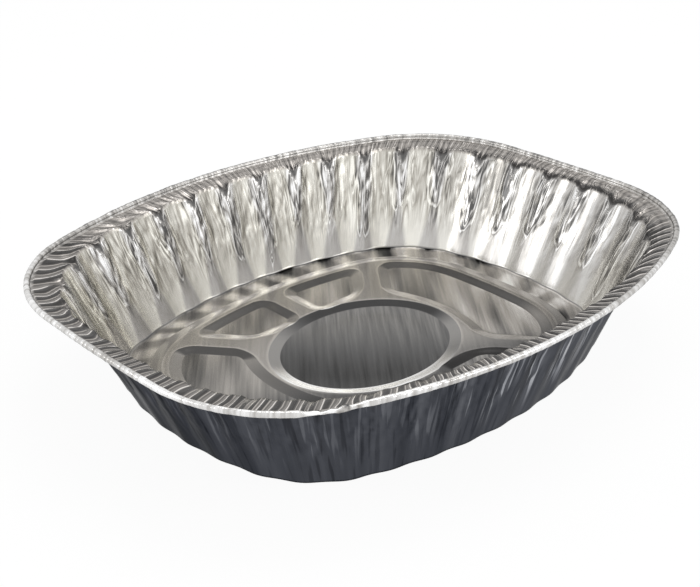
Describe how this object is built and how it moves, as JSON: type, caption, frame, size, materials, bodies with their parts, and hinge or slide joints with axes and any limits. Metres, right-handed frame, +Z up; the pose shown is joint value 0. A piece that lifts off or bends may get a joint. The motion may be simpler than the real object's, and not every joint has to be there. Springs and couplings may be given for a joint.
{
  "type": "foil roasting pan",
  "caption": "Oval-cornered aluminium foil roasting pan with a fluted flaring wall, an embossed floor and a rolled rim.",
  "frame": {"origin": "centre of the underside of the floor, on the plane that the pan rests on", "axes": "+X along the length, +Y across the width, +Z up out of the open mouth"},
  "size_m": [0.46, 0.3674, 0.087],
  "materials": {
    "foil": "bright rolled foil, lightly brushed and wrinkled"
  },
  "bodies": {
    "root": {"foil_pan": "foil"}
  },
  "joints": []
}
